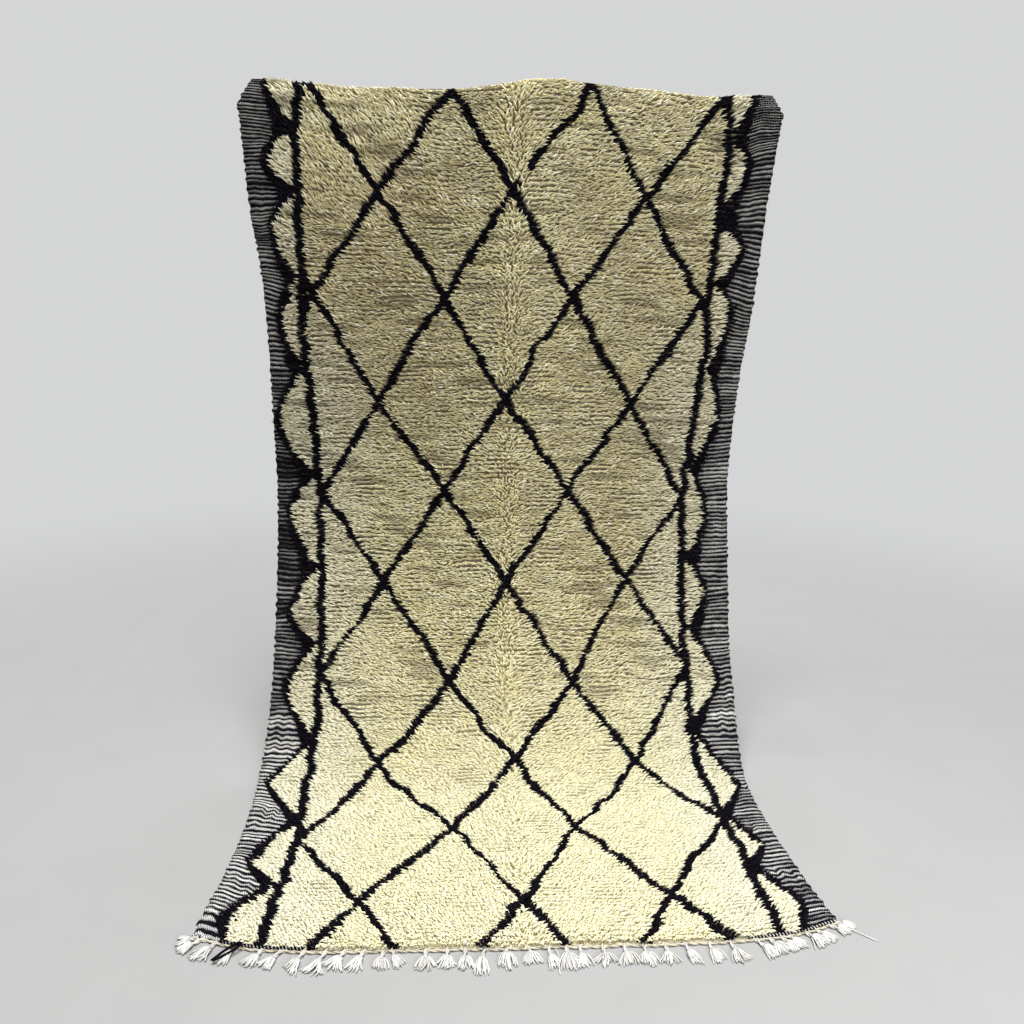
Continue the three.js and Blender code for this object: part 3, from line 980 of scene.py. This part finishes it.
def make_tassel(tubes, across, lean, length, spread, rng):
    """A neck of two turned plies from the edge cord, a wrap of yarn, and a brush on the floor."""
    root = lower_edge(across) + np.array([0, -0.003, 0.0055])
    aim = np.array([lean, -math.sqrt(max(length**2 - lean**2, 0.0004)), 0.0])
    ahead = aim / np.linalg.norm(aim)
    aside = np.array([-ahead[1], ahead[0], 0.0])
    knot_at = NECK_SHARE * length * rng.uniform(0.75, 1.2)
    first_turn = rng.uniform(0, np.pi)
    for leg in (0, np.pi):
        neck = []
        for share in np.linspace(-0.1, 1.1, 9):
            turn = first_turn + leg + 4.4 * share
            off = aside * math.cos(turn) + UP * (0.9 * math.sin(turn) - 0.3 * share)
            neck.append(root + ahead * knot_at * share + 0.0024 * off)
        tubes.add(neck, 0.0028, sides=6, tint=rng.uniform(0.2, 0.7), tips=0.7)
    knot = root + ahead * knot_at
    wrap = []
    for turn in np.linspace(0, 2 * np.pi, 10):
        off = aside * 0.0052 * math.cos(turn) + UP * 0.0040 * math.sin(turn)
        wrap.append(knot + off + ahead * 0.0025 * math.sin(turn / 2))
    tubes.add(wrap, 0.0022, sides=6, tint=rng.uniform(), tips=0.8)
    clumps = 5
    for clump in range(clumps):
        share = (clump + 0.5) / clumps * 2 - 1
        heading = math.radians(29 * spread * share) + rng.normal(0, 0.10)
        reach = (length - knot_at) * (1.0 - 0.14 * abs(share)) * rng.uniform(0.82, 1.14)
        curl = -0.07 * share * spread + rng.normal(0, 0.07)
        tall = rng.uniform(0.8, 1.5)
        tint = rng.uniform(0.1, 0.8)
        for number in range(4):
            apart = (number - 1.5) * 0.0014
            layer = 0.0030 * (number % 2)
            arch = np.array([2.2, 2.6, 2.4, 2.0, 1.6, 1.2, 1.0]) * 0.0021 * tall + layer
            path = strand(
                knot + aside * (0.0050 * share + apart),
                ahead,
                aside,
                heading + 45 * apart + rng.normal(0, 0.07),
                reach * rng.uniform(0.88, 1.05),
                curl,
                arch,
            )
            radii = 0.0015 * np.array([1.0, 1.15, 1.25, 1.25, 1.2, 1.1, 0.8])
            # Painted shade: the lower strands of each clump are darker than the upper ones that lie over
            # them.
            tint_and_layer_shade = tint + 0.35 * (number % 2) + rng.uniform(-0.1, 0.1)
            tubes.add(path, radii * rng.uniform(0.85, 1.15), sides=5, tint=tint_and_layer_shade)


def make_loose_end(tubes, across, lean, length):
    """One yarn that has come out of its tassel."""
    aim = np.array([lean, -length, 0.0])
    path = [
        lower_edge(across)
        + np.array([0, -0.012, 0.006 - 0.0048 * share])
        + aim * share
        + np.array([0.004, 0.002, 0]) * math.sin(5 * share)
        for share in np.linspace(0, 1, 9)
    ]
    radii = 0.0013 * np.array([1, 1, 1, 1, 1, 1, 1.1, 1.6, 1.3])
    tubes.add(path, radii, sides=5, tint=0.8, tips=0.6)


def make_tail(tubes, shift):
    """One of the two plies of the black yarn that hangs out near the left corner."""
    path = [
        lower_edge(-0.640 + shift)
        + np.array([
            -0.060 * share - 0.004 * math.sin(4 * share + shift * 300),
            0.004 - 0.054 * share,
            0.016 - 0.0055 * share,
        ])
        for share in np.linspace(0, 1, 9)
    ]
    tubes.add(path, np.linspace(0.0034, 0.0022, 9), sides=6, tint=0.5, tips=0.5)


def make_fringe():
    rng = np.random.default_rng(19)
    cord, tassels, dark = Tubes(), Tubes(), Tubes()
    ends = -CORD_REACH, CORD_REACH
    twist(cord, *ends, out=0.0054, height=0.0040, ply=0.0023, pitch=0.046, tints=(-0.6, -0.3))
    twined = {"out": 0.0014, "height": 0.0098, "pitch": 0.0082}
    for start, end in TWINED_ENDS:
        twist(cord, start, end, ply=0.0018, tints=(0.7,), **twined)
        twist(dark, start, end, ply=0.0026, tints=(0.2,), turned=np.pi, **twined)
    for across, lean, length, spread in TASSELS:
        make_tassel(tassels, across, TASSEL_GROWTH * lean, TASSEL_GROWTH * length, spread, rng)
    for across, lean, length in LOOSE_ENDS:
        make_loose_end(tassels, across, lean, length)
    for shift in (0.0, 0.009):
        make_tail(dark, shift)
    return cord.make("fringe_cord"), tassels.make("fringe_tassels"), dark.make("fringe_black_yarn")


# ---- Materials ----

BACKDROP = (0.66, 0.665, 0.67, 1.0)


class Value:
    """One output of a node, from which further nodes are worked out."""

    def __init__(self, nodes, socket):
        self.nodes, self.socket = nodes, socket

    def __add__(self, other):
        return self.nodes.math("ADD", self, other)

    def __sub__(self, other):
        return self.nodes.math("SUBTRACT", self, other)

    def __mul__(self, other):
        return self.nodes.math("MULTIPLY", self, other)

    def __abs__(self):
        return self.nodes.math("ABSOLUTE", self)

    def spread(self, low, high, to_low=0.0, to_high=1.0):
        """A smooth change from one number to another while the value goes from low to high."""
        inputs = self, low, high, to_low, to_high
        return self.nodes.node("MapRange", inputs, clamp=True, interpolation_type="SMOOTHSTEP")


class Nodes:
    """Shorthand for building the nodes of a material or of the world."""

    def __init__(self, owner):
        owner.use_nodes = True
        self.owner, self.tree = owner, owner.node_tree

    def put(self, socket, value):
        """Gives an input a number, a colour or the output of another node."""
        if isinstance(value, Value):
            self.tree.links.new(value.socket, socket)
        elif isinstance(value, tuple) and len(value) < len(socket.default_value):
            socket.default_value = (*value, 1.0)
        else:
            socket.default_value = value

    def use(self, made, inputs=(), out=0):
        """Fills in a node's inputs, by number or by name, and gives back one of its outputs."""
        by_slot = inputs if isinstance(inputs, dict) else dict(enumerate(inputs))
        for slot, value in by_slot.items():
            self.put(made.inputs[slot], value)
        return Value(self, made.outputs[out])

    def node(self, kind, inputs=(), out=0, **settings):
        """A new node of a kind, with its settings and its inputs."""
        made = self.tree.nodes.new("ShaderNode" + kind)
        for name, setting in settings.items():
            setattr(made, name, setting)
        return self.use(made, inputs, out)

    def values(self, *names):
        """The numbers that the mesh holds under these names."""
        return [self.node("Attribute", out="Fac", attribute_name=name) for name in names]

    def math(self, operation, *inputs):
        return self.node("Math", inputs, operation=operation)

    def wave(self, value, step):
        return self.math("SINE", value * (2 * math.pi / step))

    def mix(self, share, first, second):
        return self.node("Mix", {0: share, 6: first, 7: second}, 2, data_type="RGBA")

    def object_place(self):
        return self.node("TexCoord", out="Object")

    def noise(self, place, scale, detail=2.0):
        """Noise over a pair of values, or over the object's own space if there is no pair."""
        spot = self.node("CombineXYZ", place) if place else self.object_place()
        return self.node("TexNoise", {"Vector": spot, "Scale": scale, "Detail": detail}, "Fac")

    def finish(self, colour, roughness, gloss, sheen=0.0, bump=None):
        """The surface of a material; a bump has a height, a distance and a strength."""
        inputs = {
            "Base Color": colour,
            "Roughness": roughness,
            "Specular IOR Level": gloss,
            "Sheen Weight": sheen,
            "Sheen Roughness": 0.6,
        }
        if bump:
            relief = dict(zip(("Height", "Distance", "Strength"), bump))
            inputs["Normal"] = self.node("Bump", relief, "Normal")
        self.use(self.tree.nodes["Principled BSDF"], inputs)
        return self.owner

    def show(self, share, first, second, output):
        """Blends two shaders into what is seen."""
        blend = self.node("MixShader", (share, first, second))
        self.put(self.tree.nodes[output].inputs["Surface"], blend)


def new_material(name):
    return Nodes(bpy.data.materials.new(name))


def by_side(across, left, right):
    """The first value left of the middle, the second one right of it."""
    return left + across.spread(-0.1, 0.1) * (right - left)


def flank_shade(along, across):
    """How much painted shade falls on the hanging pile, as in the hollows of its folds: on both flanks
    high up, and lower on the right.
    """
    left, right = along.spread(0.80, 1.15, 1.40, 0.0), along.spread(1.35, 1.75, 0.8, 0.0)
    flank = abs(across).spread(0.08, 0.30) * along.spread(0.1, 0.3)
    return flank * by_side(across, left, right)


def cream_wool():
    n = new_material("cream_wool")
    tint, tip, along, across = n.values("tint", "tip", "along", "across")
    patches = n.noise((across, along), 4.5, 3.0)
    hanks = n.noise((across * 3.0, along * 40.0), 1.0)
    pale = n.mix(patches.spread(0.35, 0.65), (0.80, 0.735, 0.40), (0.86, 0.81, 0.515))
    warm = n.mix(hanks.spread(0.3, 0.7), (0.80, 0.725, 0.385), (0.88, 0.83, 0.545))
    base = n.mix(0.5, pale, warm)
    # Painted shade in patches over the hanging pile: high up on the left, and further down on the right.
    patchy_shade = n.noise((across, along * 1.6), 7.0).spread(0.42, 0.62)
    on_left, on_right = along.spread(0.85, 1.25, 0.55, 0.08), along.spread(1.5, 2.2, 0.60, 0.10)
    base = n.mix(patchy_shade * by_side(across, on_left, on_right), base, (0.58, 0.50, 0.29))
    lying = along.spread(1.6, 2.3)
    # Painted light: the pile is made paler where it lies on the floor, in the light from above.
    base = n.mix(lying * 0.85, base, (0.91, 0.865, 0.585))
    # Painted shade on the flanks of the hanging pile.
    base = n.mix(flank_shade(along, across) * 0.50, base, (0.56, 0.475, 0.25))
    # Painted highlight: the pile is paler toward both sides lower down, where light catches it at the
    # folds, and out at the lobes.
    side_highlight = abs(across).spread(0.36, 0.58, 0.0, 0.60) * along.spread(0.5, 0.9)
    side_highlight = n.math("MAXIMUM", side_highlight, abs(across).spread(0.59, 0.65, 0.0, 0.60))
    base = n.mix(side_highlight, base, (0.885, 0.865, 0.69))
    pale_tip = n.mix(lying, (0.96, 0.93, 0.74), (0.92, 0.89, 0.70))
    base = n.mix(tint.spread(0.68, 1.0, 0.0, 0.85), base, pale_tip)
    dull = tint.spread(0.0, 0.30, 0.60, 0.0) * lying.spread(0, 1, 1.0, 0.25)
    base = n.mix(dull, base, (0.58, 0.49, 0.25))
    # Painted shade: each yarn end darkens toward its root to this colour, less so at the lower end of the
    # rug.
    root_shade_depth = along.spread(RUG_LENGTH - 0.05, RUG_LENGTH - 0.01, 0.85, 0.45)
    root = n.mix(root_shade_depth, base, (0.150, 0.102, 0.026))
    colour = n.mix(tip.spread(0.10, 0.85), root, base)
    fibres = n.noise(None, 700.0)
    fuzz = fibres.spread(0.35, 0.7) * lying.spread(0, 1, 0.15, 0.05)
    colour = n.mix(fuzz, colour, (0.52, 0.44, 0.24))
    roughness = fibres.spread(0.3, 0.7, 0.82, 0.96)
    return n.finish(colour, roughness, 0.15, 0.10, (fibres, 0.0006, 0.6))


def black_wool():
    n = new_material("black_wool")
    tint, tip = n.values("tint", "tip")
    fibres = n.noise(None, 700.0)
    base = n.mix(tint, (0.0030, 0.0026, 0.0042), (0.0085, 0.0070, 0.0125))
    # Painted shade: the black yarn is darker still toward its root.
    colour = n.mix(tip.spread(0.0, 0.9), (0.0015, 0.0015, 0.002), base)
    colour = n.mix(fibres.spread(0.45, 0.75, 0.0, 0.25), colour, (0.018, 0.015, 0.022))
    roughness = fibres.spread(0.3, 0.7, 0.72, 0.9)
    return n.finish(colour, roughness, 0.05, bump=(fibres, 0.0006, 0.6))


def fringe_yarn():
    n = new_material("fringe_yarn")
    tint, tip = n.values("tint", "tip")
    fibres = n.noise(None, 900.0, 3.0)
    # The darker end of this range is partly the yarn's own tone and partly painted shade on the lower
    # strands of a brush.
    base = n.mix(tint, (0.50, 0.48, 0.42), (0.78, 0.78, 0.77))
    base = n.mix(tint.spread(-0.5, 0.0, 1.0, 0.0), base, (0.66, 0.59, 0.43))
    colour = n.mix(fibres.spread(0.35, 0.7, 0.0, 0.30), base, (0.46, 0.45, 0.41))
    # Painted shade: yarn darkens near the start of a strand, where a brush leaves its knot.
    colour = n.mix(tip.spread(0.0, 0.4, 0.20, 0.0), colour, (0.40, 0.38, 0.32))
    roughness = fibres.spread(0.3, 0.7, 0.8, 0.95)
    return n.finish(colour, roughness, 0.15, 0.04, (fibres, 0.0005, 0.7))


def stripes(n, along, across, pair, warp):
    """The bands' colour, with one black rib and one white rib to a pair."""
    on_left = along.spread(0.7, 1.2, 0.0, 0.21) - along.spread(1.6, 2.1, 0.0, 0.27)
    on_right = along.spread(1.7, 2.3, 0.0, 0.10)
    wide = along.spread(0.2, 0.9, 0.82, 0.77) + by_side(across, on_left, on_right)
    wide = wide + (n.noise((across * 5.0, pair * 0.45), 1.0) - 0.5) * 0.75
    uneven = n.noise((across * 60.0, pair * 1.7), 1.0) - 0.5
    drawn_in = n.wave(across, DRAWN_STEP) * n.noise((along, across), 9.0, 1.0).spread(0.42, 0.68)
    drawn_in = drawn_in * along.spread(1.6, 2.3, 0.05, 0.30)
    share = n.math("FRACT", pair + uneven * 0.52 + warp * 0.17 + drawn_in)
    black_rib = share.spread(0.0, 0.04) * share.spread(wide - 0.04, wide, 1.0, 0.0)
    between = along.spread(0.3, 1.2, 0.0, 0.30) + along.spread(1.5, 2.2, 0.0, 0.35)
    beads = warp.spread(-0.9, 0.2, between, 1.0)
    streaks = n.noise((across, along), 25.0).spread(0.35, 0.60)
    white = n.mix(streaks, (0.66, 0.64, 0.57), (0.93, 0.92, 0.87))
    # Painted light: the white ribs are made whiter where the band lies on the floor.
    white = n.mix(along.spread(1.9, 2.4, 0.0, 0.75), white, (0.97, 0.96, 0.93))
    white = n.mix(beads * along.spread(0.10, 0.9, 0.85, 1.0), (0.13, 0.12, 0.11), white)
    black = n.mix(beads, (0.0015, 0.0015, 0.002), (0.0085, 0.0075, 0.0115))
    return n.mix(black_rib, white, black)


def on_line(off, half):
    """1 within half a line's width of its middle, with a soft edge."""
    return off.spread(half - 0.001, half + 0.001, 1.0, 0.0)


def knotted_back(n, along, across, knots, from_border, from_outer):
    """The field's colour: knots, with the pattern's black lines showing through."""
    ragged = (n.noise((across, along), 120.0) - 0.5) * 0.010
    falling, rising, front = n.values("falling", "rising", "front")
    offs = [abs(count - n.math("ROUND", count)) * (2 * CROSSING_REACH) for count in (falling, rising)]
    in_field = from_border.spread(-0.002, 0.002, 1.0, 0.0)
    lattice = on_line(n.math("MINIMUM", *offs) + ragged, LINE_HALF) * in_field
    border = on_line(abs(from_border) + ragged, BORDER_HALF)
    outer = on_line(abs(from_outer + 0.012) + ragged, 0.016)
    lines = n.math("MAXIMUM", n.math("MAXIMUM", lattice, border), outer)
    ground = n.mix(knots.spread(-0.7, 0.3), (0.42, 0.36, 0.24), (0.80, 0.74, 0.56))
    dark_knot = n.mix(knots.spread(-0.6, 0.4), (0.10, 0.09, 0.08), (0.008, 0.007, 0.010))
    shaded = front * along.spread(1.5, 2.2, 0.75, 0.0)
    ground = n.mix(shaded, ground, (0.10, 0.075, 0.03))
    return n.mix(lines, ground, dark_knot)


def woven_cloth():
    """Striped bands on both faces, and the knotted back of the pile between them."""
    n = new_material("woven_cloth")
    along, across, pair = n.values("along", "across", "pair")
    from_border, from_outer = n.values("from_border", "from_outer")
    warp = n.wave(across, WARP_STEP)
    knots = (n.wave(pair, 1) + n.wave(across, KNOT_STEP) * 0.7) * 0.5
    field = knotted_back(n, along, across, knots, from_border, from_outer)
    in_band = from_outer.spread(-0.001, 0.001)
    colour = n.mix(in_band, field, stripes(n, along, across, pair, warp))
    relief = n.mix(in_band, knots, (warp + 1.0) * 0.5)
    return n.finish(colour, 0.9, 0.04, bump=(relief, 0.0011, 0.8))


def floor_paint():
    """A pale floor that goes over into the backdrop's colour away from the rug."""
    n = new_material("floor_paint")
    speckle = n.noise(None, 6.0, 3.0)
    pale = n.mix(speckle, (0.375, 0.375, 0.375), (0.40, 0.40, 0.398))
    straight = n.node("LightPath", out="Is Camera Ray")
    n.finish(n.mix(straight, (0.20, 0.20, 0.20), pale), speckle.spread(0.3, 0.7, 0.75, 0.85), 0.2)
    ends = n.object_place(), (0.0, -0.6, FLOOR)
    away = n.node("VectorMath", ends, "Value", operation="DISTANCE").spread(1.3, 4.5)
    glow = n.node("Emission", {"Color": BACKDROP})
    paint = n.use(n.tree.nodes["Principled BSDF"])
    n.show(away * straight, paint, glow, "Material Output")
    return n.owner


# ---- Stage, light and camera ----


def make_floor():
    reach, below = 14.0, 0.0004
    corners = ((-1, -1), (1, -1), (1, 1), (-1, 1))
    points = [(reach * x, reach * y, FLOOR - below) for x, y in corners]
    floor = make_mesh("floor", points, [(0, 1, 2, 3)], smooth=False)
    floor.data.materials.append(floor_paint())


def make_lamp(name, place, aim, size, watts):
    data = bpy.data.lights.new(name, "AREA")
    data.shape = "RECTANGLE"
    data.size, data.size_y = size
    data.energy = watts
    lamp = add_object(name, data)
    lamp.location = place
    away = lamp.location - Vector(aim)
    lamp.rotation_euler = away.to_track_quat("Z", "Y").to_euler()


def make_lights():
    make_lamp("ceiling_lamp", (-0.5, -1.95, 8.0), (0.0, -0.7, -2.0), (6.0, 5.0), 1380)
    make_lamp("front_lamp", (1.2, -3.6, -0.5), (0.0, -0.2, -1.2), (1.8, 1.2), 60)
    make_lamp("back_lamp", (0.6, 2.6, 0.9), (0.0, 0.0, -0.9), (2.4, 1.6), 40)
    n = Nodes(bpy.data.worlds.new("studio"))
    bpy.context.scene.world = n.owner
    sky = n.use(n.tree.nodes["Background"], {"Color": (1, 1, 1), "Strength": 0.16})
    seen = n.node("Background", {"Color": BACKDROP, "Strength": 1.0})
    n.show(n.node("LightPath", out="Is Camera Ray"), sky, seen, "World Output")


def make_camera():
    data = bpy.data.cameras.new("camera")
    data.lens = CAMERA_LENS
    data.sensor_width = 36.0
    data.clip_end = 60.0
    camera = add_object("camera", data)
    right, forward, above_floor = CAMERA_PLACE
    placed = Matrix.Translation((right, forward, FLOOR + above_floor))
    pan, tilt, roll = (math.radians(turn) for turn in CAMERA_TURNS)
    turned, tilted = Matrix.Rotation(pan, 4, "Z"), Matrix.Rotation(tilt, 4, "X")
    camera.matrix_world = placed @ turned @ tilted @ Matrix.Rotation(roll, 4, "Z")
    bpy.context.scene.camera = camera


# ---- Putting it together ----


def finish_piece(piece, material, node):
    piece.data.materials.append(material)
    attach(piece, "root")
    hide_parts(node)


def make_rug():
    cream, black, yarn = cream_wool(), black_wool(), fringe_yarn()
    sheet = make_cloth()
    finish_piece(sheet, woven_cloth(), "rug")
    pile = make_pile()
    for piece in pile:
        dark = piece.name.startswith("pile_black")
        finish_piece(piece, black if dark else cream, "rug")
    fringe = make_fringe()
    for piece, material in zip(fringe, (yarn, yarn, black)):
        finish_piece(piece, material, "fringe")


make_camera()
make_lights()
make_floor()
make_rug()
bpy.context.scene.view_settings.view_transform = "Standard"
